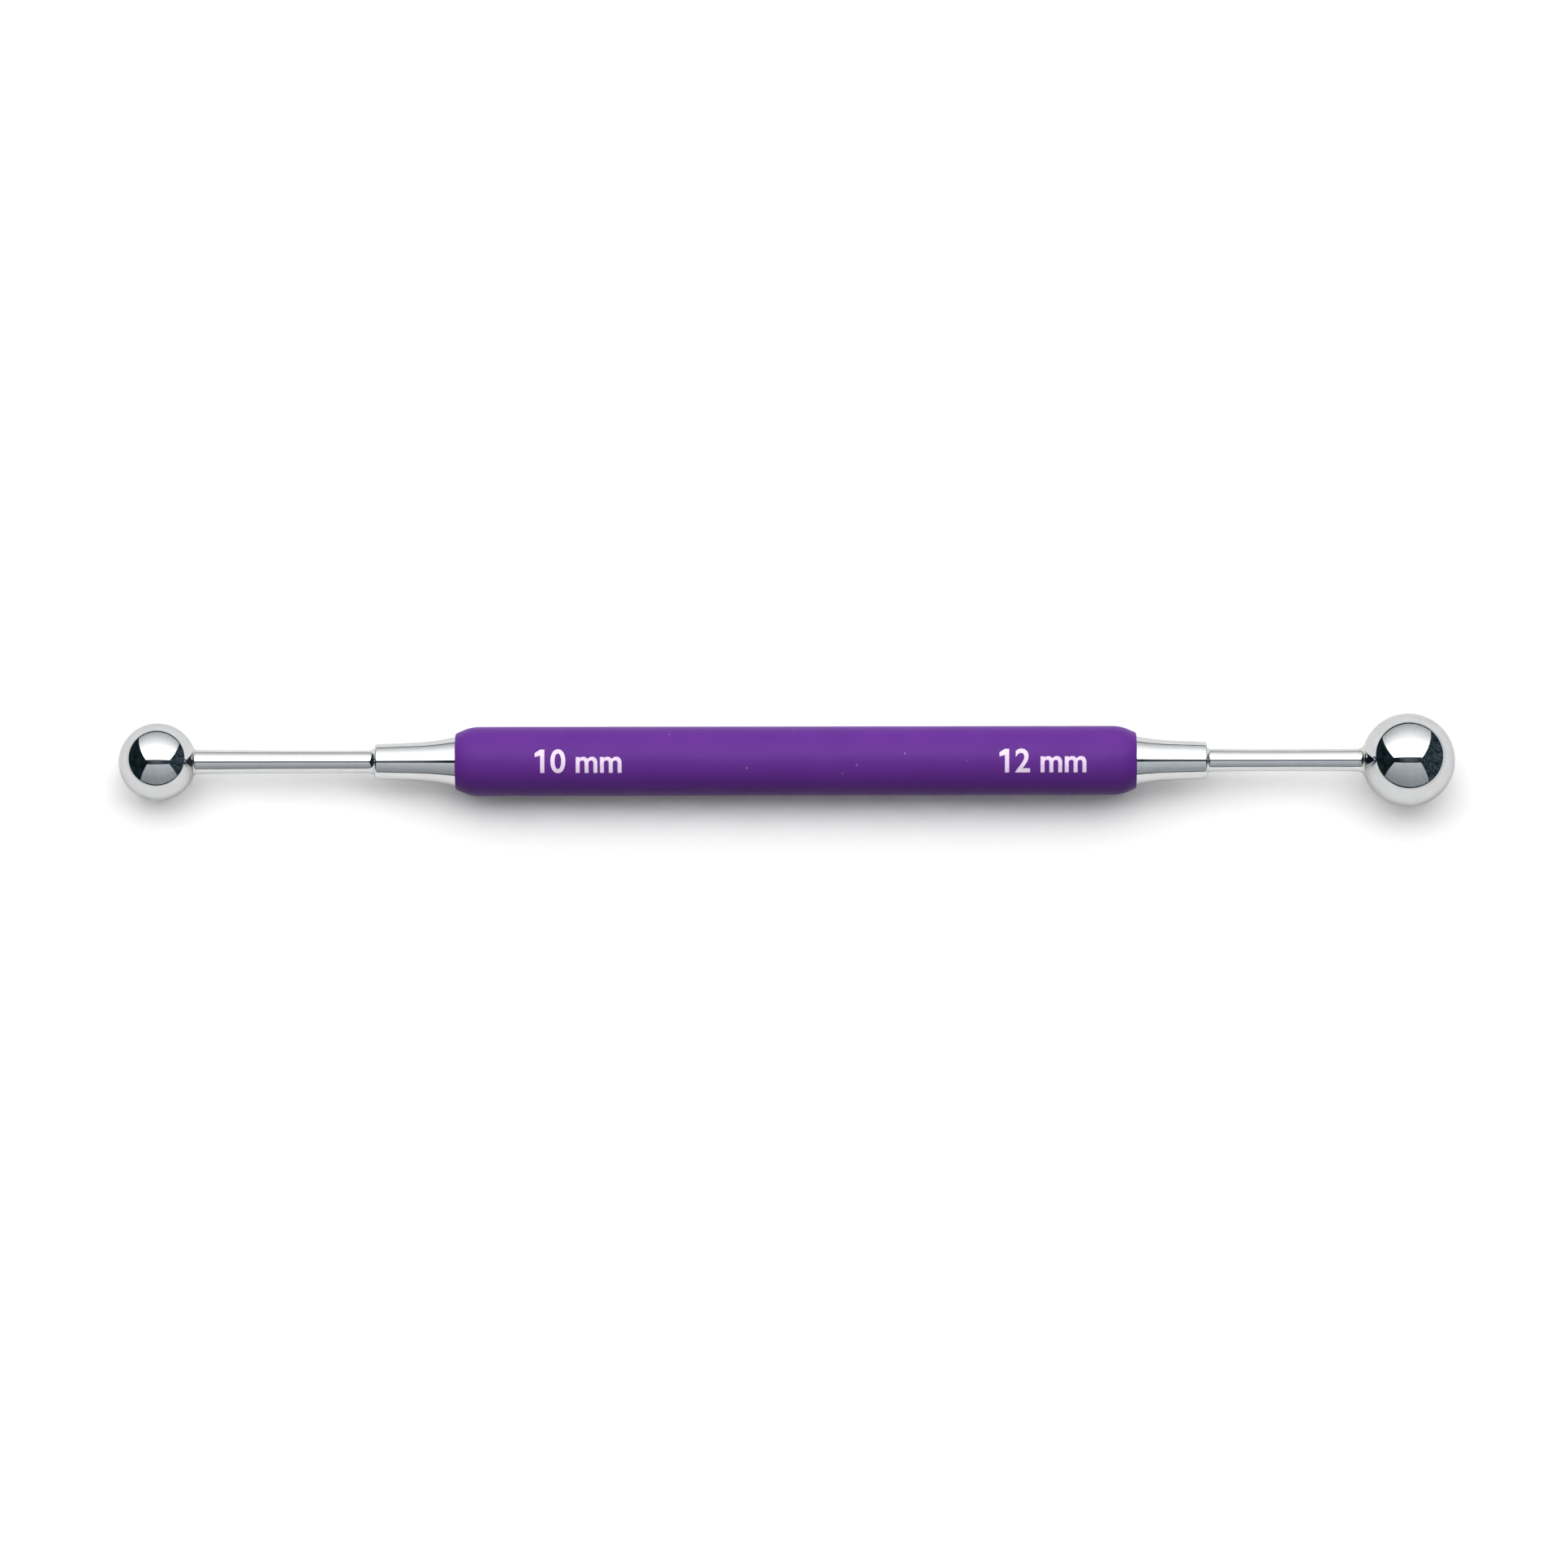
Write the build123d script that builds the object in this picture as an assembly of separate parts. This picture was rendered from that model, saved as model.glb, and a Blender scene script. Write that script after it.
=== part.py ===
from build123d import *
from dataclasses import dataclass
import math
import os

# A double-ended ball stylus for embossing paper, foil and clay. A soft grip sleeve is bonded over
# a metal core tube. A turned ferrule is bonded into each end of the tube, a slim waisted shank is
# bonded into each ferrule, and a polished ball is brazed on the end of each shank.
#
# Every piece is turned about the tool's axis, which is X. The origin lies on the axis, at the
# middle of the grip. The large ball is at +X and the small ball at -X. Lengths are millimetres.

# Grip sleeve
grip_length = 87.3
grip_diameter = 8.9
grip_wall = 1.18
grip_rim_width = 0.38
grip_rim_bevel = 0.15
grip_chamfer_length = 2.0
grip_shoulder_round = 5.0

# Core tube inside the sleeve
core_wall = 0.7
core_setback = 4.0
core_chamfer = 0.15

# Bonded and brazed fits, each measured on the radius
glue_gap = 0.02
braze_gap = 0.02

# Spigot and shank bore of both ferrules
spigot_length = 10.0
spigot_chamfer = 0.4
glue_groove_count = 2
glue_groove_width = 0.8
glue_groove_depth = 0.25
bore_floor = 4.5
drill_point_angle = 118.0

# Nose of both ferrules
taper_angle = 2.35

# Ferrule at the small ball
small_ferrule_reach = 10.45
small_nose_diameter = 4.5
small_nose_round = 0.45
small_flare_reach = 5.45
small_flare_inset = 0.2

# Ferrule at the large ball
large_ferrule_reach = 9.1
large_nose_diameter = 4.76
large_nose_round = 0.3
large_flare_reach = 4.6
large_flare_inset = 0.5

# Tail and tenon of both shanks
tail_diameter = 2.8
tail_chamfer = 0.3
tail_end_gap = 0.3
tenon_diameter = 1.8
tenon_depth = 3.4
tenon_chamfer = 0.2
tenon_end_gap = 0.3

# Shank at the small ball
small_shank_reach = 27.85
small_foot_length = 0.85
small_foot_rise = 0.32
small_root_diameter = 2.92
small_waist_diameter = 2.96
small_neck_diameter = 3.12
small_braze_round = 0.42

# Shank at the large ball
large_shank_reach = 25.83
large_foot_length = 0.5
large_foot_rise = 0.3
large_root_diameter = 2.96
large_waist_diameter = 2.82
large_neck_diameter = 2.94
large_braze_round = 0.95

# Balls
small_ball_diameter = 10.0
large_ball_diameter = 12.0

# What the sizes above make of the grip and the core tube
grip_radius = grip_diameter / 2
core_radius = grip_radius - grip_wall - glue_gap
core_end = grip_length / 2 - core_setback
spigot_radius = core_radius - core_wall - glue_gap
spigot_tip = -core_setback - spigot_length
tail_radius = tail_diameter / 2
tenon_radius = tenon_diameter / 2


@dataclass
class End:
    """One end of the tool. Places on it are measured outwards from the end face of the grip."""

    ferrule_reach: float
    nose_diameter: float
    nose_round: float
    flare_reach: float
    flare_inset: float
    shank_reach: float
    foot_length: float
    foot_rise: float
    root_diameter: float
    waist_diameter: float
    neck_diameter: float
    braze_round: float
    ball_diameter: float

    def __post_init__(self):
        self.nose_radius = self.nose_diameter / 2
        self.ball_radius = self.ball_diameter / 2
        self.ball_centre = self.ferrule_reach + self.shank_reach
        # The braze has a concave round that touches both the neck and the ball. It runs from the
        # neck's end to the circle where it meets the ball, and the ball is spot-faced there.
        neck_radius = self.neck_diameter / 2
        round_off = self.ball_radius + self.braze_round
        round_out = neck_radius + self.braze_round
        round_back = math.sqrt(round_off**2 - round_out**2)
        ball_share = self.ball_radius / round_off
        self.neck = (self.ball_centre - round_back, neck_radius)
        self.spot = (self.ball_centre - round_back * ball_share, round_out * ball_share)


small_end = End(
    ferrule_reach=small_ferrule_reach,
    nose_diameter=small_nose_diameter,
    nose_round=small_nose_round,
    flare_reach=small_flare_reach,
    flare_inset=small_flare_inset,
    shank_reach=small_shank_reach,
    foot_length=small_foot_length,
    foot_rise=small_foot_rise,
    root_diameter=small_root_diameter,
    waist_diameter=small_waist_diameter,
    neck_diameter=small_neck_diameter,
    braze_round=small_braze_round,
    ball_diameter=small_ball_diameter,
)
large_end = End(
    ferrule_reach=large_ferrule_reach,
    nose_diameter=large_nose_diameter,
    nose_round=large_nose_round,
    flare_reach=large_flare_reach,
    flare_inset=large_flare_inset,
    shank_reach=large_shank_reach,
    foot_length=large_foot_length,
    foot_rise=large_foot_rise,
    root_diameter=large_root_diameter,
    waist_diameter=large_waist_diameter,
    neck_diameter=large_neck_diameter,
    braze_round=large_braze_round,
    ball_diameter=large_ball_diameter,
)


def turned(*curves):
    """The solid turned about X from the curves of one half outline, with Y as the radius."""
    return revolve(make_face(Curve() + list(curves)), Axis.X).solid()


def rims(piece):
    """The circular edges of a turned piece, in order along the axis."""
    return piece.edges().filter_by(GeomType.CIRCLE).sort_by(Axis.X)


def drilled_hole(mouth, depth, radius, heading):
    """A blind hole along X, from its mouth towards the heading, 1 or -1, with the drill's point."""
    bottom = mouth + heading * depth
    point = bottom + heading * radius / math.tan(math.radians(drill_point_angle / 2))
    return turned(Polyline((mouth, 0), (mouth, radius), (bottom, radius), (point, 0), close=True))


def make_grip_sleeve():
    """The soft sleeve: a straight barrel with a chamfer that blends into it at each end."""
    end = grip_length / 2
    bore = grip_radius - grip_wall
    rim = bore + grip_rim_width
    half = [
        (end, bore, 0),
        (end, rim - grip_rim_bevel, 0),
        (end - grip_rim_bevel, rim, 0),
        (end - grip_chamfer_length, grip_radius, grip_shoulder_round),
    ]
    corners = half + [(-along, out, rounding) for along, out, rounding in reversed(half)]
    points = [(along, out) for along, out, _ in corners]
    rounds = [rounding for _, _, rounding in corners]
    return turned(FilletPolyline(*points, radius=rounds, close=True))


def make_core_tube():
    """The tube that stiffens the grip and takes the ferrules' spigots, its edges broken."""
    tube = turned(Pos(0, core_radius - core_wall / 2) * Rectangle(2 * core_end, core_wall).wire())
    return chamfer(rims(tube), core_chamfer)


def make_ferrule(end):
    """A tapered nose, a flare into the grip, a skirt in the sleeve and a spigot in the tube."""
    taper_rise = (end.ferrule_reach - end.flare_reach) * math.tan(math.radians(taper_angle))
    nose = (end.ferrule_reach, end.nose_radius)
    taper = Line(nose, (end.flare_reach, end.nose_radius + taper_rise))
    flare = TangentArc(taper @ 1, (-end.flare_inset, core_radius), tangent=taper % 1)
    inside = Polyline(
        flare @ 1,
        (-core_setback, core_radius),
        (-core_setback, spigot_radius),
        (spigot_tip, spigot_radius),
        (spigot_tip, 0),
        (end.ferrule_reach, 0),
        nose,
    )
    body = turned(taper, flare, inside)
    body = fillet(rims(body)[-1], end.nose_round)
    body = chamfer(rims(body)[0], spigot_chamfer)
    groove = Rectangle(glue_groove_width, 2 * glue_groove_depth).wire()
    groove_pitch = spigot_length / (glue_groove_count + 1)
    for number in range(glue_groove_count):
        middle = spigot_tip + groove_pitch * (number + 1)
        body -= turned(Pos(middle, spigot_radius) * groove)
    bore_depth = end.ferrule_reach - spigot_tip - bore_floor
    return body - drilled_hole(end.ferrule_reach, bore_depth, tail_radius + glue_gap, -1)


def make_shank(end):
    """A tail in the ferrule, a flared foot on its nose, a waisted rod and a tenon in the ball."""
    foot_end = end.ferrule_reach + end.foot_length
    root_radius = end.root_diameter / 2
    waist = ((foot_end + end.neck[0]) / 2, end.waist_diameter / 2)
    rod = ThreePointArc((foot_end, root_radius), waist, end.neck)
    foot_rim = (end.ferrule_reach, root_radius + end.foot_rise)
    foot = TangentArc(rod @ 0, foot_rim, tangent=-(rod % 0))
    tail_end = spigot_tip + bore_floor + tail_end_gap
    tenon_end = end.spot[0] + tenon_depth
    tail = Polyline(
        foot_rim, (end.ferrule_reach, tail_radius), (tail_end, tail_radius), (tail_end, 0)
    )
    tenon = Polyline(
        (tail_end, 0), (tenon_end, 0), (tenon_end, tenon_radius), (end.neck[0], tenon_radius), end.neck
    )
    body = turned(foot, rod, tail, tenon)
    body = chamfer(rims(body)[0], tail_chamfer)
    return chamfer(rims(body)[-1], tenon_chamfer)


def make_braze_ring(end):
    """The braze between neck and ball, concave outside and touching both without an edge."""
    bore = tenon_radius + braze_gap
    outside = TangentArc(end.neck, end.spot, tangent=(1, 0))
    inside = Polyline(end.spot, (end.spot[0], bore), (end.neck[0], bore), end.neck)
    return turned(outside, inside)


def make_ball(end):
    """A ball with a spot face for the braze and a blind hole for the shank's tenon."""
    crown = (end.ball_centre, end.ball_radius)
    pole = (end.ball_centre + end.ball_radius, 0)
    surface = ThreePointArc(end.spot, crown, pole)
    body = turned(surface, Polyline(pole, (end.spot[0], 0), end.spot))
    return body - drilled_hole(end.spot[0], tenon_depth + tenon_end_gap, tenon_radius + braze_gap, 1)


def at_large_end(piece):
    return Pos(grip_length / 2, 0, 0) * piece


def at_small_end(piece):
    return Pos(-grip_length / 2, 0, 0) * Rot(0, 0, 180) * piece


pieces = {
    "grip_sleeve": make_grip_sleeve(),
    "handle_core_tube": make_core_tube(),
    "small_end_ferrule": at_small_end(make_ferrule(small_end)),
    "small_ball_shank": at_small_end(make_shank(small_end)),
    "small_ball_braze_ring": at_small_end(make_braze_ring(small_end)),
    "small_ball": at_small_end(make_ball(small_end)),
    "large_end_ferrule": at_large_end(make_ferrule(large_end)),
    "large_ball_shank": at_large_end(make_shank(large_end)),
    "large_ball_braze_ring": at_large_end(make_braze_ring(large_end)),
    "large_ball": at_large_end(make_ball(large_end)),
}

os.makedirs("parts", exist_ok=True)
for name, piece in pieces.items():
    export_step(piece, f"parts/{name}.step")
    print(f"{name}: {piece.volume:.2f} mm3")
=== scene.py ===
import bmesh
import bpy
import math
from mathutils import Matrix, Vector


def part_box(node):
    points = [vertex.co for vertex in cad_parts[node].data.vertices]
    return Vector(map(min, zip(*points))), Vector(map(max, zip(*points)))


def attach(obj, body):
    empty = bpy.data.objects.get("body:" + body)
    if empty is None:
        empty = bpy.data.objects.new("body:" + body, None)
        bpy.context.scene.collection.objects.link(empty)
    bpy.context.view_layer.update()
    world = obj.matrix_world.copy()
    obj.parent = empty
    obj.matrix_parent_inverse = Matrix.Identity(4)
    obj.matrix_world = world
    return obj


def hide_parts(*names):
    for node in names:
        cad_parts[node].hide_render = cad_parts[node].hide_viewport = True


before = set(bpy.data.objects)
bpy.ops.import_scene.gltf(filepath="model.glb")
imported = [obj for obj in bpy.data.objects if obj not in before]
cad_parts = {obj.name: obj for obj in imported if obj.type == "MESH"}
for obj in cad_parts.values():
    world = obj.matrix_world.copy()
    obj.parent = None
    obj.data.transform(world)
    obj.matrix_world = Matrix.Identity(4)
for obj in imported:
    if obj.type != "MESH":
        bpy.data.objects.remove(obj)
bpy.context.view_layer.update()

# A double-ended ball stylus lying on a white table between two softboxes. Every visible piece is
# turned about X, the tool's axis. The tool's sizes are millimetres here, and MM turns them into
# metres. The studio's sizes are metres.
MM = 0.001


def reach_of(node):
    """A node's lowest x, highest x and outer radius, in millimetres."""
    low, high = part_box(node)
    return low.x / MM, high.x / MM, high.z / MM


# Grip sleeve
_, grip_end, grip_radius = reach_of("grip_sleeve")
grip_bore = 3.27
grip_rim_width = 0.38
grip_rim_bevel = 0.15
grip_chamfer_length = 2.0
grip_shoulder_round = 5.0

# Spigot and shank bore of both ferrules
_, core_end, core_radius = reach_of("handle_core_tube")
spigot_radius = 2.53
spigot_chamfer = 0.4
glue_groove_count = 2
glue_groove_width = 0.8
glue_groove_depth = 0.25
shank_bore_radius = 1.42
shank_bore_floor = 4.5
drill_point_angle = 118.0

# Noses of the ferrules
taper_angle = 2.35
small_nose_radius = 2.25
small_nose_round = 0.45
small_flare_length = 5.45
small_flare_inset = 0.2
large_nose_radius = 2.38
large_nose_round = 0.3
large_flare_length = 4.6
large_flare_inset = 0.5

# Shanks
tail_radius = 1.4
tail_chamfer = 0.3
tenon_radius = 0.9
tenon_chamfer = 0.2
small_foot_length = 0.85
small_foot_rise = 0.32
small_waist_radius = 1.48
large_foot_length = 0.5
large_foot_rise = 0.3
large_waist_radius = 1.41

# Balls and braze
braze_bore = 0.92
tenon_end_gap = 0.3

# Ball sizes printed on the grip. The letters are cut into strips to follow the barrel, and the tilt
# is how far round from the top they are centred. The stroke is a share of the letters' size. The
# 1 has a flag to its left, in shares of its height: how far the flag reaches, its height at the root
# and at the tip, and how far its tip drops.
mark_height = 3.1
mark_width = 11.1
mark_thickness = 0.02
mark_stroke_share = 0.018
mark_strip = 0.1
mark_tilt = math.radians(15.6)
mark_flag_reach = 0.24
mark_flag_root = 0.26
mark_flag_tip = 0.17
mark_flag_drop = 0.15
small_mark_middle = -27.8
large_mark_middle = 31.6

# How finely the turned pieces are divided
STEPS_AROUND = 256
ARC_STEP = math.radians(1.5)
FLARE_STEPS = 40
ROD_STEPS = 48
ROUND_STEPS = 24
FOOT_STEPS = 16
BRAZE_STEPS = 20
SHARP_ANGLE = math.radians(24)

# What counts as the same point, as a point on the axis and as a straight run
SAME_POINT = 1e-5
ON_AXIS = 1e-6
STRAIGHT = 1e-9


class End:
    """One end of the tool. Places are millimetres out from the middle of the grip."""

    def __init__(self, name, heading, nose, foot, waist_radius):
        self.name = name
        self.heading = heading
        self.nose_radius, self.nose_round, flare_length, self.flare_inset = nose
        foot_length, foot_rise = foot
        self.waist_radius = waist_radius

        def outwards(node):
            low, high, radius = reach_of(node)
            return (low, high, radius) if heading > 0 else (-high, -low, radius)

        self.spigot_tip, self.nose_face, _ = outwards(f"{name}_end_ferrule")
        self.tail_end, self.tenon_end, self.foot_radius = outwards(f"{name}_ball_shank")
        self.neck, self.spot, self.spot_radius = outwards(f"{name}_ball_braze_ring")
        _, self.pole, self.ball_radius = outwards(f"{name}_ball")
        self.ball_centre = self.pole - self.ball_radius
        self.flare_start = grip_end + flare_length
        self.foot_end = self.nose_face + foot_length
        self.root_radius = self.foot_radius - foot_rise
        # The braze's concave round touches the neck and the ball, which gives both radii.
        spread = (self.ball_centre - self.neck) / (self.ball_centre - self.spot)
        self.braze_round = self.ball_radius * (spread - 1)
        self.neck_radius = self.spot_radius * spread - self.braze_round


small_end = End(
    name="small",
    heading=-1,
    nose=(small_nose_radius, small_nose_round, small_flare_length, small_flare_inset),
    foot=(small_foot_length, small_foot_rise),
    waist_radius=small_waist_radius,
)
large_end = End(
    name="large",
    heading=1,
    nose=(large_nose_radius, large_nose_round, large_flare_length, large_flare_inset),
    foot=(large_foot_length, large_foot_rise),
    waist_radius=large_waist_radius,
)
ends = (small_end, large_end)


# Outlines

def arc(centre, radius, start, finish):
    """Points on an arc between two angles in radians, in steps of about ARC_STEP."""
    count = max(2, math.ceil(abs(finish - start) / ARC_STEP))
    angles = [start + (finish - start) * i / count for i in range(count + 1)]
    return [(centre[0] + radius * math.cos(a), centre[1] + radius * math.sin(a)) for a in angles]


def tangent_arc(start, finish, heading, count):
    """Points on the arc that leaves start along a heading and ends at finish."""
    chord = Vector(finish) - Vector(start)
    along = Vector(heading).normalized()
    side = Vector((-along.y, along.x))
    offset = chord.dot(side)
    if abs(offset) < STRAIGHT:
        return [start, finish]
    radius = chord.length_squared / (2 * offset)
    centre = Vector(start) + side * radius
    turn = 2 * math.atan2(offset, chord.dot(along))
    first = Vector(start) - centre
    points = []
    for i in range(count + 1):
        a = turn * i / count
        x = first.x * math.cos(a) - first.y * math.sin(a)
        y = first.x * math.sin(a) + first.y * math.cos(a)
        points.append(tuple(centre + Vector((x, y))))
    return points


def three_point_arc(a, b, c, count):
    """Points on the arc through three points, which may be nearly in line."""
    (ax, ay), (bx, by), (cx, cy) = a, b, c
    d = 2 * (ax * (by - cy) + bx * (cy - ay) + cx * (ay - by))
    sa, sb, sc = ax * ax + ay * ay, bx * bx + by * by, cx * cx + cy * cy
    centre = Vector(((sa * (by - cy) + sb * (cy - ay) + sc * (ay - by)) / d,
                     (sa * (cx - bx) + sb * (ax - cx) + sc * (bx - ax)) / d))
    start = Vector(a) - centre
    heading = Vector((-start.y, start.x))
    if heading.dot(Vector(b) - Vector(a)) < 0:
        heading = -heading
    return tangent_arc(a, c, heading, count)


def rounded(corners):
    """A closed outline of (x, r, rounding) corners, each rounding an arc that touches both sides."""
    points = []
    for i, (x, r, rounding) in enumerate(corners):
        here = Vector((x, r))
        if not rounding:
            points.append((x, r))
            continue
        before = (Vector(corners[i - 1][:2]) - here).normalized()
        after = (Vector(corners[(i + 1) % len(corners)][:2]) - here).normalized()
        half = before.angle(after) / 2
        back = rounding / math.tan(half)
        start, finish = here + before * back, here + after * back
        points += tangent_arc(tuple(start), tuple(finish), -before, ROUND_STEPS)
    return points


# Meshes

def tidy(points):
    """The outline without repeated points."""
    kept = []
    for x, r in points:
        r = max(r, 0.0)
        if not kept or math.dist(kept[-1], (x, r)) > SAME_POINT:
            kept.append((x, r))
    if math.dist(kept[0], kept[-1]) < SAME_POINT:
        kept.pop()
    return kept


def turned(name, outline, heading, material, node):
    """A closed piece turned about X from a closed half outline, in place of a CAD node."""
    points = tidy(outline)
    mesh = bpy.data.meshes.new(name)
    bm = bmesh.new()
    rings = []
    for x, r in points:
        place = x * heading * MM
        if r < ON_AXIS:
            rings.append([bm.verts.new((place, 0, 0))])
            continue
        ring = []
        for i in range(STEPS_AROUND):
            a = 2 * math.pi * i / STEPS_AROUND
            ring.append(bm.verts.new((place, r * MM * math.sin(a), r * MM * math.cos(a))))
        rings.append(ring)
    for first, second in zip(rings, rings[1:] + rings[:1]):
        if len(first) == 1 and len(second) == 1:
            continue
        for i in range(STEPS_AROUND):
            j = (i + 1) % STEPS_AROUND
            corners = [first[i % len(first)], first[j % len(first)]]
            corners += [second[j % len(second)], second[i % len(second)]]
            bm.faces.new(list(dict.fromkeys(corners)))
    bmesh.ops.recalc_face_normals(bm, faces=bm.faces)
    for face in bm.faces:
        face.smooth = True
    for edge in bm.edges:
        edge.smooth = edge.calc_face_angle(0.0) < SHARP_ANGLE
    bm.to_mesh(mesh)
    bm.free()
    piece = bpy.data.objects.new(name, mesh)
    bpy.context.scene.collection.objects.link(piece)
    mesh.materials.append(material)
    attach(piece, "root")
    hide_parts(node)
    return piece


def cut_across(bm, height):
    """Cuts a mark's letters at one height and leaves the halves joined."""
    parts = list(bm.verts) + list(bm.edges) + list(bm.faces)
    level, upwards = Vector((0, height, 0)), Vector((0, 1, 0))
    bmesh.ops.bisect_plane(bm, geom=parts, plane_co=level, plane_no=upwards)


def add_flag(bm):
    """Gives a mark's leading 1, a plain bar in the font, the flag that tells it from a capital I."""
    left = min(v.co.x for v in bm.verts)
    heights = [v.co.y for v in bm.verts if v.co.x < left + SAME_POINT]
    top, height = max(heights), max(heights) - min(heights)
    root = top - mark_flag_root * height
    cut_across(bm, root)
    corners = {v for v in bm.verts if v.co.x < left + SAME_POINT and v.co.y > root - SAME_POINT}
    side = next(face for face in bm.faces if corners.issuperset(face.verts))
    grown = bmesh.ops.extrude_face_region(bm, geom=[side, *side.edges])["geom"]
    for v in (part for part in grown if isinstance(part, bmesh.types.BMVert)):
        down = (top - v.co.y) / (top - root)
        v.co.x = left - mark_flag_reach * height
        v.co.y = top - (mark_flag_drop + mark_flag_tip * down) * height


def printed_mark(name, words, middle, material):
    """Words printed round the grip's barrel, upright when the large ball is at the right."""
    text = bpy.data.curves.new(name, "FONT")
    text.body = words
    text.offset = mark_stroke_share
    text.extrude = mark_thickness / 2
    writer = bpy.data.objects.new(name, text)
    bpy.context.scene.collection.objects.link(writer)
    mesh = bpy.data.meshes.new_from_object(writer)
    bpy.data.objects.remove(writer)
    bpy.data.curves.remove(text)
    bm = bmesh.new()
    bm.from_mesh(mesh)
    bmesh.ops.remove_doubles(bm, verts=bm.verts, dist=ON_AXIS)
    if words.startswith("1"):
        add_flag(bm)
    lows = [min(v.co[axis] for v in bm.verts) for axis in range(2)]
    highs = [max(v.co[axis] for v in bm.verts) for axis in range(2)]
    factors = (mark_width / (highs[0] - lows[0]), mark_height / (highs[1] - lows[1]))
    for v in bm.verts:
        along = (v.co.x - (lows[0] + highs[0]) / 2) * factors[0]
        up = (v.co.y - (lows[1] + highs[1]) / 2) * factors[1]
        v.co = Vector((along, up, v.co.z + mark_thickness / 2))
    for cut in range(1, math.ceil(mark_height / mark_strip)):
        cut_across(bm, cut * mark_strip - mark_height / 2)
    for v in bm.verts:
        angle = v.co.y / grip_radius - mark_tilt
        out = grip_radius + v.co.z
        v.co = Vector((middle + v.co.x, out * math.sin(angle), out * math.cos(angle))) * MM
    bmesh.ops.recalc_face_normals(bm, faces=bm.faces)
    for face in bm.faces:
        face.smooth = True
    for edge in bm.edges:
        edge.smooth = edge.calc_face_angle(0.0) < SHARP_ANGLE
    bm.to_mesh(mesh)
    bm.free()
    mesh.materials.clear()
    mesh.materials.append(material)
    piece = bpy.data.objects.new(name, mesh)
    bpy.context.scene.collection.objects.link(piece)
    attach(piece, "root")
    return piece


def sleeve_outline():
    rim = grip_bore + grip_rim_width
    half = [
        (grip_end, grip_bore, 0),
        (grip_end, rim - grip_rim_bevel, 0),
        (grip_end - grip_rim_bevel, rim, 0),
        (grip_end - grip_chamfer_length, grip_radius, grip_shoulder_round),
    ]
    return rounded(half + [(-x, r, rounding) for x, r, rounding in reversed(half)])


def drill_point(mouth_radius):
    return mouth_radius / math.tan(math.radians(drill_point_angle / 2))


def ferrule_outline(end):
    slope = math.tan(math.radians(taper_angle))
    taper_start = (end.flare_start, end.nose_radius + (end.nose_face - end.flare_start) * slope)
    skirt = (grip_end - end.flare_inset, core_radius)
    nose_corner = [
        (end.flare_start, taper_start[1], 0),
        (end.nose_face, end.nose_radius, end.nose_round),
        (end.nose_face, shank_bore_radius, 0),
    ]
    bore_end = end.spigot_tip + shank_bore_floor
    groove_pitch = (core_end - end.spigot_tip) / (glue_groove_count + 1)
    grooves = []
    for number in range(glue_groove_count):
        middle = end.spigot_tip + groove_pitch * (number + 1)
        near, far = middle - glue_groove_width / 2, middle + glue_groove_width / 2
        floor_radius = spigot_radius - glue_groove_depth
        grooves += [(near, spigot_radius), (near, floor_radius)]
        grooves += [(far, floor_radius), (far, spigot_radius)]
    flare = tangent_arc(taper_start, skirt, (-1.0, slope), FLARE_STEPS)
    outside = flare[::-1] + rounded(nose_corner)[1:]
    inside = [
        (bore_end, shank_bore_radius),
        (bore_end - drill_point(shank_bore_radius), 0),
        (end.spigot_tip, 0),
        (end.spigot_tip, spigot_radius - spigot_chamfer),
        (end.spigot_tip + spigot_chamfer, spigot_radius),
    ]
    return outside + inside + grooves + [(core_end, spigot_radius), (core_end, core_radius)]


def shank_outline(end):
    neck = (end.neck, end.neck_radius)
    waist = ((end.foot_end + end.neck) / 2, end.waist_radius)
    rod = three_point_arc((end.foot_end, end.root_radius), waist, neck, ROD_STEPS)
    inwards = Vector(rod[0]) - Vector(rod[1])
    foot = tangent_arc(rod[0], (end.nose_face, end.foot_radius), inwards, FOOT_STEPS)[::-1]
    tenon = [
        (end.neck, tenon_radius),
        (end.tenon_end - tenon_chamfer, tenon_radius),
        (end.tenon_end, tenon_radius - tenon_chamfer),
        (end.tenon_end, 0),
    ]
    tail = [
        (end.tail_end, 0),
        (end.tail_end, tail_radius - tail_chamfer),
        (end.tail_end + tail_chamfer, tail_radius),
        (end.nose_face, tail_radius),
    ]
    return foot + rod[1:] + tenon + tail


def braze_outline(end):
    neck, spot = (end.neck, end.neck_radius), (end.spot, end.spot_radius)
    outside = tangent_arc(neck, spot, (1.0, 0.0), BRAZE_STEPS)
    return outside + [(end.spot, braze_bore), (end.neck, braze_bore)]


def ball_outline(end):
    start = math.pi - math.asin(end.spot_radius / end.ball_radius)
    surface = arc((end.ball_centre, 0), end.ball_radius, start, 0.0)
    hole_end = end.tenon_end + tenon_end_gap
    return surface + [
        (hole_end + drill_point(braze_bore), 0),
        (hole_end, braze_bore),
        (end.spot, braze_bore),
    ]


# Materials

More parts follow.
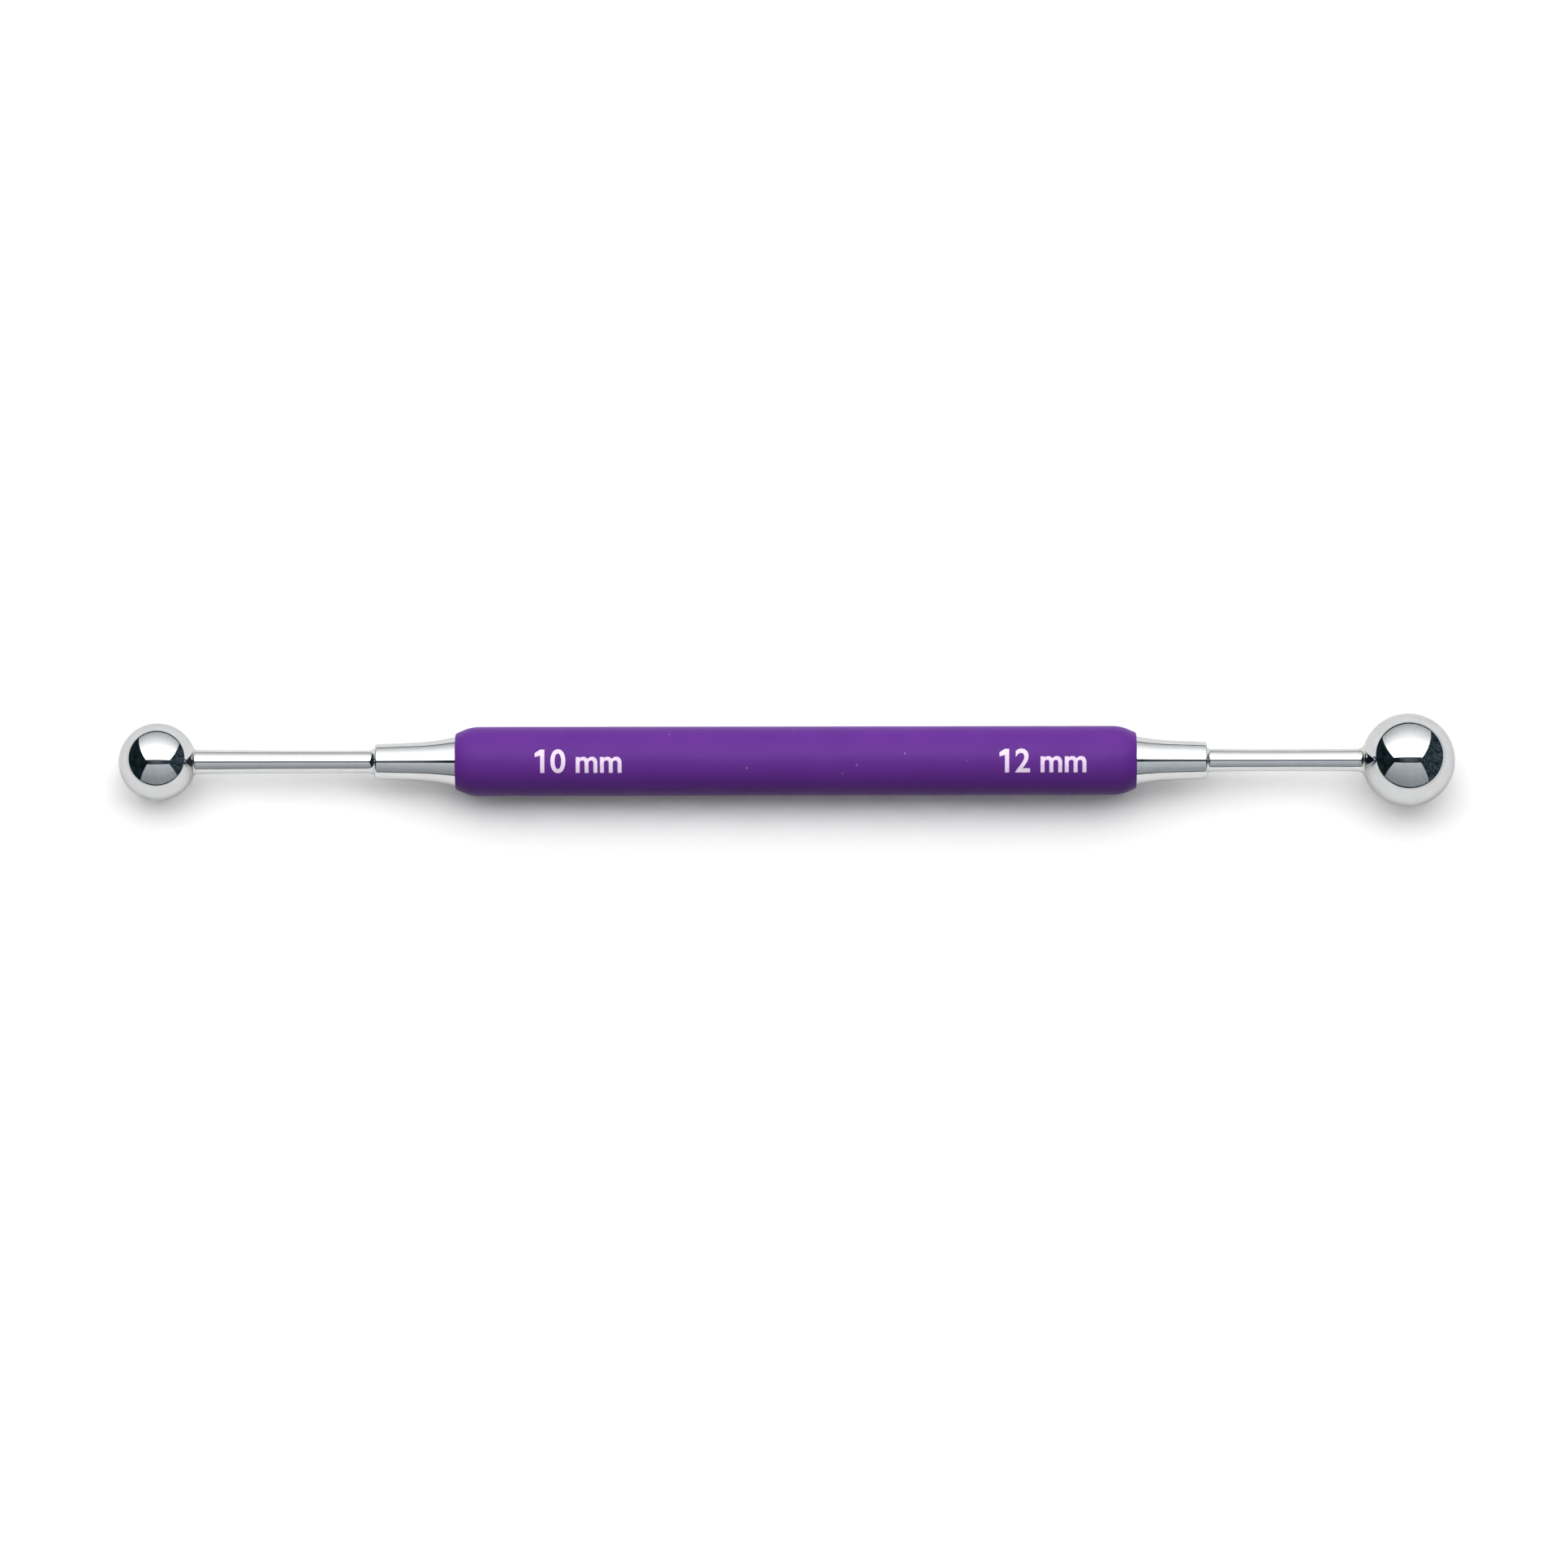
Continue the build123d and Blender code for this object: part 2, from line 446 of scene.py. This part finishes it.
class Nodes:
    """Short calls for building a node tree."""

    def __init__(self, tree):
        self.tree = tree
        self.object_place = self.add("ShaderNodeTexCoord").outputs["Object"]

    def add(self, kind, inputs=None, **settings):
        node = self.tree.nodes.new(kind)
        for key, value in settings.items():
            setattr(node, key, value)
        for key, value in (inputs or {}).items():
            self.feed(node.inputs[key], value)
        return node

    def feed(self, socket, value):
        if isinstance(value, bpy.types.NodeSocket):
            self.tree.links.new(value, socket)
        else:
            socket.default_value = value

    def scaled(self, x, y=None, z=None):
        """Object coordinates in millimetres, times a factor along each axis."""
        y, z = y or x, z or x
        inputs = {"Vector": self.object_place, "Scale": tuple(f / MM for f in (x, y, z))}
        return self.add("ShaderNodeMapping", inputs).outputs["Vector"]

    def noise(self, place, detail=2.0, roughness=0.5):
        """Noise about 0.5 with one feature per unit of place."""
        inputs = {"Vector": place, "Scale": 1.0, "Detail": detail, "Roughness": roughness}
        return self.add("ShaderNodeTexNoise", inputs).outputs["Fac"]

    def spread(self, value, low, high, start=0.3, finish=0.7, curve="LINEAR"):
        """The value's range from start to finish, mapped to low to high and held outside it."""
        inputs = {"Value": value, "From Min": start, "From Max": finish, "To Min": low, "To Max": high}
        return self.add("ShaderNodeMapRange", inputs, interpolation_type=curve).outputs["Result"]

    def math(self, operation, a, b):
        return self.add("ShaderNodeMath", {0: a, 1: b}, operation=operation).outputs[0]

    def parts(self, vector):
        return self.add("ShaderNodeSeparateXYZ", {0: vector}).outputs

    def mixed(self, factor, first, second):
        node = self.add("ShaderNodeMix", {0: factor, 6: first, 7: second}, data_type="RGBA")
        return node.outputs[2]

    def dots(self, spacing, share, inner, outer):
        """Round specks: 1 in a speck's middle and 0 off it. About a share of the cells has one."""
        cells = self.add("ShaderNodeTexVoronoi", {"Vector": self.scaled(1 / spacing), "Scale": 1.0})
        draw = self.parts(cells.outputs["Color"])[0]
        chosen = self.math("GREATER_THAN", draw, 1 - share)
        speck = self.spread(cells.outputs["Distance"], 1.0, 0.0, inner, outer)
        return self.math("MULTIPLY", chosen, speck)

    def bump(self, height, distance, normal=None):
        """A bump of that many millimetres for a height from 0 to 1."""
        inputs = {"Height": height, "Distance": distance * MM, "Strength": 1.0}
        if normal is not None:
            inputs["Normal"] = normal
        return self.add("ShaderNodeBump", inputs).outputs["Normal"]

    def seen(self):
        """1 for rays that show a surface: from the camera, mirrored or through glass. 0 for lighting."""
        path = self.add("ShaderNodeLightPath").outputs
        either = self.math("MAXIMUM", path["Is Camera Ray"], path["Is Glossy Ray"])
        return self.math("MAXIMUM", either, path["Is Transmission Ray"])


class Surface(Nodes):
    """A material whose nodes feed its Principled shader."""

    def __init__(self, name):
        self.material = bpy.data.materials.new(name)
        self.material.use_nodes = True
        super().__init__(self.material.node_tree)

    def finish(self, **sockets):
        names = {"base": "Base Color", "rough": "Roughness", "metal": "Metallic", "normal": "Normal",
                 "ior_level": "Specular IOR Level", "edge_tint": "Specular Tint"}
        shader = self.tree.nodes["Principled BSDF"]
        for key, value in sockets.items():
            self.feed(shader.inputs[names[key]], value)
        return self.material


# Colours, as linear red, green and blue
RUBBER = (0.109, 0.024, 0.238, 1)
RUBBER_MOTTLE = (0.12, 0.0275, 0.258, 1)
RUBBER_GRAIN = (0.092, 0.0195, 0.206, 1)
# Painted shade for the small pits in the rubber
RUBBER_PIT_SHADE = (0.05, 0.008, 0.13, 1)
RUBBER_DUST = (0.4, 0.31, 0.52, 1)
INK = (0.87, 0.72, 0.9, 1)
INK_THIN = (0.78, 0.62, 0.84, 1)
INK_PINHOLE = (0.34, 0.2, 0.5, 1)
FERRULE_PLATE = (0.63, 0.635, 0.64)
SHANK_STEEL = (0.62, 0.625, 0.63)
BALL_STEEL = (0.57, 0.575, 0.58)
BRAZE = (0.6, 0.6, 0.58, 1)
BRAZE_STAIN = (0.52, 0.51, 0.48, 1)
ALUMINIUM = (0.68, 0.68, 0.69, 1)
ALUMINIUM_LINES = (0.58, 0.58, 0.6, 1)

# How much the metals brighten at a glancing angle. 1 would be white.
METAL_EDGE = (0.75, 0.75, 0.75, 1)
METAL_SMUDGE = 0.94


def grip_rubber():
    """Soft-touch rubber: a matt purple skin with a fine grain, faint mottling, specks of dust and
    painted shade in small pits.
    """
    n = Surface("grip_rubber_skin")
    mottle = n.noise(n.scaled(0.22), 3.0)
    grain = n.noise(n.scaled(7.0), 2.0)
    base = n.mixed(n.spread(mottle, 0.0, 1.0), RUBBER, RUBBER_MOTTLE)
    base = n.mixed(n.spread(grain, 0.0, 0.35), base, RUBBER_GRAIN)
    # Painted shade: small pits are drawn only as darker specks in the colour, with no bump of their own.
    pit_shade = n.dots(spacing=1.7, share=0.2, inner=0.02, outer=0.05)
    base = n.mixed(n.math("MULTIPLY", pit_shade, 0.5), base, RUBBER_PIT_SHADE)
    dust = n.dots(spacing=2.0, share=0.14, inner=0.035, outer=0.09)
    base = n.mixed(n.math("MULTIPLY", dust, 0.45), base, RUBBER_DUST)
    lumps = n.noise(n.scaled(0.9), 2.0)
    normal = n.bump(n.math("ADD", n.math("MULTIPLY", grain, 0.35), lumps), 0.012)
    return n.finish(base=base, rough=n.spread(grain, 0.36, 0.46), normal=normal, ior_level=0.08)


def grip_ink():
    """Pale printing ink, a little uneven, with pinholes that let the rubber through."""
    n = Surface("grip_ink_print")
    cloud = n.noise(n.scaled(1.2), 3.0)
    pinholes = n.noise(n.scaled(16.0), 2.0)
    base = n.mixed(n.spread(cloud, 0.0, 1.0), INK, INK_THIN)
    base = n.mixed(n.spread(pinholes, 0.8, 0.0, 0.3, 0.4), base, INK_PINHOLE)
    return n.finish(base=base, rough=n.spread(cloud, 0.42, 0.6), normal=n.bump(pinholes, 0.003))


def plated(name, colour, rough, line_height, wave_height, wave_scale=0.35):
    """Bright metal with faint lines round it from turning and polishing, and a slightly wavy face."""
    n = Surface(name)
    lines = n.noise(n.scaled(14.0, 0.25, 0.25), 3.0, 0.6)
    waves = n.noise(n.scaled(wave_scale), 2.0)
    smudges = n.noise(n.scaled(0.6), 4.0, 0.65)
    darker = tuple(c * METAL_SMUDGE for c in colour)
    base = n.mixed(n.spread(smudges, 0.0, 1.0), (*colour, 1), (*darker, 1))
    normal = n.bump(waves, wave_height)
    normal = n.bump(lines, line_height, normal)
    worn = n.spread(smudges, rough * 0.7, rough * 1.6)
    return n.finish(base=base, rough=worn, metal=1.0, normal=normal, edge_tint=METAL_EDGE)


def braze_silver():
    """Bright silver braze, a little duller and more uneven than the plated pieces."""
    n = Surface("braze_silver_fillet")
    lumps = n.noise(n.scaled(1.4), 3.0)
    stain = n.noise(n.scaled(0.8), 3.0)
    base = n.mixed(n.spread(stain, 0.0, 1.0), BRAZE, BRAZE_STAIN)
    normal = n.bump(lumps, 0.02)
    rough = n.spread(stain, 0.07, 0.18)
    return n.finish(base=base, rough=rough, metal=1.0, normal=normal, edge_tint=METAL_EDGE)


def core_aluminium():
    """Drawn aluminium tube with fine lines along it."""
    n = Surface("core_aluminium_tube")
    lines = n.noise(n.scaled(0.15, 9.0, 9.0), 3.0)
    base = n.mixed(n.spread(lines, 0.0, 1.0), ALUMINIUM, ALUMINIUM_LINES)
    rough = n.spread(lines, 0.3, 0.42)
    return n.finish(base=base, rough=rough, metal=1.0, normal=n.bump(lines, 0.004))


rubber = grip_rubber()
ferrule_chrome = plated(
    "ferrule_chrome_plate", FERRULE_PLATE, rough=0.03, line_height=0.0006, wave_height=0.005
)
shank_steel = plated(
    "shank_steel_polish", SHANK_STEEL, rough=0.035, line_height=0.0006, wave_height=0.004
)
ball_steel = plated(
    "ball_steel_mirror", BALL_STEEL, rough=0.018, line_height=0.0001, wave_height=0.002, wave_scale=0.25
)
braze = braze_silver()


# Pieces

turned("grip_sleeve_skin", sleeve_outline(), 1, rubber, "grip_sleeve")
ink = grip_ink()
printed_mark("small_ball_size_print", f"{2 * small_end.ball_radius:.0f} mm", small_mark_middle, ink)
printed_mark("large_ball_size_print", f"{2 * large_end.ball_radius:.0f} mm", large_mark_middle, ink)
for end in ends:
    turned(f"{end.name}_end_ferrule_plated", ferrule_outline(end), end.heading, ferrule_chrome,
           f"{end.name}_end_ferrule")
    turned(f"{end.name}_ball_shank_polished", shank_outline(end), end.heading, shank_steel,
           f"{end.name}_ball_shank")
    turned(f"{end.name}_ball_braze", braze_outline(end), end.heading, braze,
           f"{end.name}_ball_braze_ring")
    turned(f"{end.name}_ball_polished", ball_outline(end), end.heading, ball_steel,
           f"{end.name}_ball")
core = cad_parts["handle_core_tube"]
core.data.materials.clear()
core.data.materials.append(core_aluminium())


# Studio. The tool lies on both balls, so the table leans a little against the tool's axis.

ball_spacing = small_end.ball_centre + large_end.ball_centre
ball_rise = large_end.ball_radius - small_end.ball_radius
lean = math.atan2(ball_rise, ball_spacing)
middle_share = small_end.ball_centre / ball_spacing
table_drop = small_end.ball_radius + ball_rise * middle_share
table = Matrix.Translation((0, 0, -table_drop * MM / math.cos(lean))) @ Matrix.Rotation(lean, 4, "Y")

# The table's white: how much light it returns, a faint glow that keeps the shadow from black, and
# how many millimetres light spreads inside it. Both are larger under the two ends, where the extra
# glow is painted light that lightens the shadows of the balls and shanks.
TABLE_WHITE = 0.87
TABLE_WHITE_BOUNCED = 0.42
TABLE_GLOW = 0.08
TABLE_SCATTER = 4.5
TABLE_END_PAINTED_GLOW = 0.135
TABLE_END_SCATTER = 9.0
TABLE_END_START = 0.05
TABLE_END_FULL = 0.074
TABLE_NEAR = 0.12
TABLE_FAR = 0.2
TABLE_GRAIN = 0.01
TABLE_HALF = 4.0


def table_white():
    """White table that takes the tool's shadow. Further out it is pure white to whatever sees it."""
    material = bpy.data.materials.new("table_white")
    material.use_nodes = True
    material.node_tree.nodes.clear()
    n = Nodes(material.node_tree)
    distance = n.add("ShaderNodeVectorMath", {0: n.object_place}, operation="LENGTH").outputs["Value"]
    far = n.spread(distance, 0.0, 1.0, TABLE_NEAR, TABLE_FAR, "SMOOTHSTEP")
    grain = n.noise(n.scaled(0.9))
    seen = n.seen()
    white = n.spread(grain, TABLE_WHITE - TABLE_GRAIN, TABLE_WHITE + TABLE_GRAIN, 0.0, 1.0)
    tone = n.spread(seen, TABLE_WHITE_BOUNCED, white, 0.0, 1.0)
    diffuse = n.add("ShaderNodeBsdfDiffuse", {"Color": tone}).outputs[0]
    along = n.math("ABSOLUTE", n.parts(n.object_place)[0], 0.0)
    at_end = n.spread(along, 0.0, 1.0, TABLE_END_START, TABLE_END_FULL, "SMOOTHSTEP")
    depth = n.spread(at_end, TABLE_SCATTER * MM, TABLE_END_SCATTER * MM, 0.0, 1.0)
    scatter = {"Color": tone, "Scale": depth, "Radius": (1.0, 1.0, 1.0)}
    soft = n.add("ShaderNodeSubsurfaceScattering", scatter, falloff="BURLEY").outputs[0]
    # Painted light: the glow grows under the two ends so that the shadows of the balls and shanks come
    # out lighter.
    glow = n.spread(at_end, TABLE_GLOW, TABLE_END_PAINTED_GLOW, 0.0, 1.0)
    near_glow = n.add("ShaderNodeEmission", {"Strength": n.math("MULTIPLY", seen, glow)}).outputs[0]
    near = n.add("ShaderNodeAddShader", {0: soft, 1: near_glow}).outputs[0]
    far_glow = n.add("ShaderNodeEmission").outputs[0]
    beyond = n.add("ShaderNodeMixShader", {0: seen, 1: diffuse, 2: far_glow}).outputs[0]
    surface = n.add("ShaderNodeMixShader", {0: far, 1: near, 2: beyond}).outputs[0]
    n.add("ShaderNodeOutputMaterial", {"Surface": surface})
    return material


table_corners = [(-TABLE_HALF, -TABLE_HALF, 0), (TABLE_HALF, -TABLE_HALF, 0),
                 (TABLE_HALF, TABLE_HALF, 0), (-TABLE_HALF, TABLE_HALF, 0)]
table_mesh = bpy.data.meshes.new("table_top")
table_mesh.from_pydata(table_corners, [], [(0, 1, 2, 3)])
table_mesh.materials.append(table_white())
table_top = bpy.data.objects.new("table_top", table_mesh)
table_top.matrix_world = table
bpy.context.scene.collection.objects.link(table_top)


def softbox(name, low_edge, high_edge, width, levels, tint=(1.0, 1.0, 1.0), share=1.0):
    """An area lamp between two edges, given as (y, z) in metres over the table.

    Its levels are (share of its height, strength) pairs, which grade its face. The share is how
    much of them lights matt surfaces.
    """
    low, high = Vector((0, *low_edge)), Vector((0, *high_edge))
    height = (high - low).length
    up = (high - low).normalized()
    across = Vector((1, 0, 0))
    facing = across.cross(up)
    centre = (low + high) / 2
    if facing.dot(centre) < 0:
        across, facing = -across, -facing
    axes = Matrix((across, up, facing)).transposed().to_4x4()
    peak = max(strength for _, strength in levels)
    kinds = {"": 1.0} if share == 1.0 else {"_mirrored": 1.0, "_fill": share}
    for kind, dimming in kinds.items():
        lamp = bpy.data.lights.new(name + kind, "AREA")
        lamp.shape = "RECTANGLE"
        lamp.size, lamp.size_y = width, height
        lamp.energy = math.pi * width * height * peak * dimming
        lamp.use_nodes = True
        n = Nodes(lamp.node_tree)
        place = n.parts(n.add("ShaderNodeNewGeometry").outputs["Parametric"])[1]
        ramp = n.add("ShaderNodeValToRGB", {0: place})
        steps = ramp.color_ramp.elements
        while len(steps) < len(levels):
            steps.new(0.5)
        for step, (share_up, strength) in zip(steps, levels):
            step.position = share_up
            step.color = (*(strength / peak * c for c in tint), 1)
        n.feed(lamp.node_tree.nodes["Emission"].inputs["Color"], ramp.outputs["Color"])
        holder = bpy.data.objects.new(name + kind, lamp)
        holder.matrix_world = table @ Matrix.Translation(centre) @ axes
        holder.visible_camera = False
        holder.visible_diffuse = kind != "_mirrored"
        holder.visible_glossy = kind != "_fill"
        bpy.context.scene.collection.objects.link(holder)


# The softboxes' edges are places (y, z) over the table.
BACK_LOW_EDGE = (0.465, 0.05)
BACK_HIGH_EDGE = (-0.095, 0.62)
BACK_WIDTH = 0.89
BACK_LEVELS = [(0.0, 0.64), (0.08, 0.73), (0.15, 0.86), (0.21, 0.98), (0.265, 1.15), (0.315, 1.3),
               (0.4, 1.6), (0.49, 2.3), (0.58, 3.4), (0.75, 3.9), (1.0, 3.4)]
FRONT_LOW_EDGE = (-0.307, 0.03)
FRONT_HIGH_EDGE = (-0.209, 0.5)
FRONT_WIDTH = 0.694
FRONT_LEVELS = [(0.0, 0.36), (0.1, 0.41), (0.25, 0.46), (0.4, 0.57), (0.62, 0.66), (0.85, 0.74),
                (1.0, 0.82)]
FRONT_TINT = (0.92, 0.96, 1.0)
FRONT_SHARE = 0.66
softbox("back_softbox", BACK_LOW_EDGE, BACK_HIGH_EDGE, BACK_WIDTH, BACK_LEVELS)
softbox(
    "front_softbox", FRONT_LOW_EDGE, FRONT_HIGH_EDGE, FRONT_WIDTH, FRONT_LEVELS, FRONT_TINT, FRONT_SHARE
)

# The room that bright metal mirrors, and the light that it adds
ROOM_RADIUS = 2.6
ROOM_LIGHT = 0.03
ROOM_LEFT = (0.006, 0.01, 0.012, 1)
ROOM_LEFT_PALE = (0.02, 0.04, 0.052, 1)
ROOM_RIGHT = (0.014, 0.026, 0.034, 1)
ROOM_RIGHT_PALE = (0.08, 0.115, 0.14, 1)
ROOM_OVERHEAD = (0.145, 0.155, 0.172, 1)
ROOM_CLOUDS = 1.6
ROOM_STREAKS = (5.0, 5.0, 0.6)


def studio_dark():
    """The unlit room that bright metal mirrors: dark on the left, blue-grey on the right, grey above."""
    material = bpy.data.materials.new("studio_dark")
    material.use_nodes = True
    material.node_tree.nodes.clear()
    n = Nodes(material.node_tree)
    x, y, z = n.parts(n.object_place)
    clouds = {"Vector": n.object_place, "Scale": ROOM_CLOUDS, "Detail": 4.0}
    clouds = n.add("ShaderNodeTexNoise", clouds).outputs["Fac"]
    streaks = {"Vector": n.object_place, "Scale": ROOM_STREAKS}
    streaks = n.add("ShaderNodeMapping", streaks).outputs["Vector"]
    streaks = {"Vector": streaks, "Scale": 1.0, "Detail": 3.0}
    streaks = n.add("ShaderNodeTexNoise", streaks).outputs["Fac"]
    left = n.mixed(n.spread(clouds, 0.0, 1.0, 0.35, 0.7), ROOM_LEFT, ROOM_LEFT_PALE)
    right = n.mixed(n.spread(streaks, 0.0, 1.0, 0.4, 0.65), ROOM_RIGHT, ROOM_RIGHT_PALE)
    sides = n.mixed(n.spread(x, 0.0, 1.0, -0.5, 0.5, "SMOOTHSTEP"), left, right)
    overhead = n.spread(z, 0.0, 1.0, ROOM_RADIUS * 0.86, ROOM_RADIUS * 0.98, "SMOOTHSTEP")
    colour = n.mixed(overhead, sides, ROOM_OVERHEAD)
    glow = n.add("ShaderNodeEmission", {"Color": colour}).outputs[0]
    n.add("ShaderNodeOutputMaterial", {"Surface": glow})
    return material


room_mesh = bpy.data.meshes.new("studio_room")
bm = bmesh.new()
bmesh.ops.create_uvsphere(bm, u_segments=64, v_segments=32, radius=ROOM_RADIUS)
bm.to_mesh(room_mesh)
bm.free()
room_mesh.materials.append(studio_dark())
room = bpy.data.objects.new("studio_room", room_mesh)
room.visible_camera = False
room.visible_diffuse = False
room.visible_transmission = False
room.visible_shadow = False
bpy.context.scene.collection.objects.link(room)

world = bpy.data.worlds.new("studio_world")
world.use_nodes = True
bpy.context.scene.world = world
n = Nodes(world.node_tree)
background = world.node_tree.nodes["Background"]
background.inputs["Color"].default_value = (1, 1, 1, 1)
n.feed(background.inputs["Strength"], n.spread(n.seen(), ROOM_LIGHT, 1.0, 0.0, 1.0))

# Camera, level with the table
PHOTO_SIDE = 1932
PIXELS_PER_MM = 9.6
AXIS_COLUMN = 980.5
AXIS_ROW = 937.6
CAMERA_ELEVATION = math.radians(74.4)
CAMERA_DISTANCE = 1.0
frame_width = PHOTO_SIDE / PIXELS_PER_MM * MM
camera_data = bpy.data.cameras.new("camera")
camera_data.lens = camera_data.sensor_width * CAMERA_DISTANCE / frame_width
camera = bpy.data.objects.new("camera", camera_data)
bpy.context.scene.collection.objects.link(camera)
back = Vector((0, -math.cos(CAMERA_ELEVATION), math.sin(CAMERA_ELEVATION)))
up = Vector((0, math.sin(CAMERA_ELEVATION), math.cos(CAMERA_ELEVATION)))
right = Vector((1, 0, 0))
aside = (PHOTO_SIDE / 2 - AXIS_COLUMN) / PIXELS_PER_MM * MM
below = (PHOTO_SIDE / 2 - AXIS_ROW) / PIXELS_PER_MM * MM
aim = right * aside - up * below
axes = Matrix((right, up, back)).transposed().to_4x4()
tilt = Matrix.Rotation(lean, 4, "Y")
camera.matrix_world = tilt @ Matrix.Translation(aim + back * CAMERA_DISTANCE) @ axes
bpy.context.scene.camera = camera
bpy.context.scene.view_settings.view_transform = "Standard"
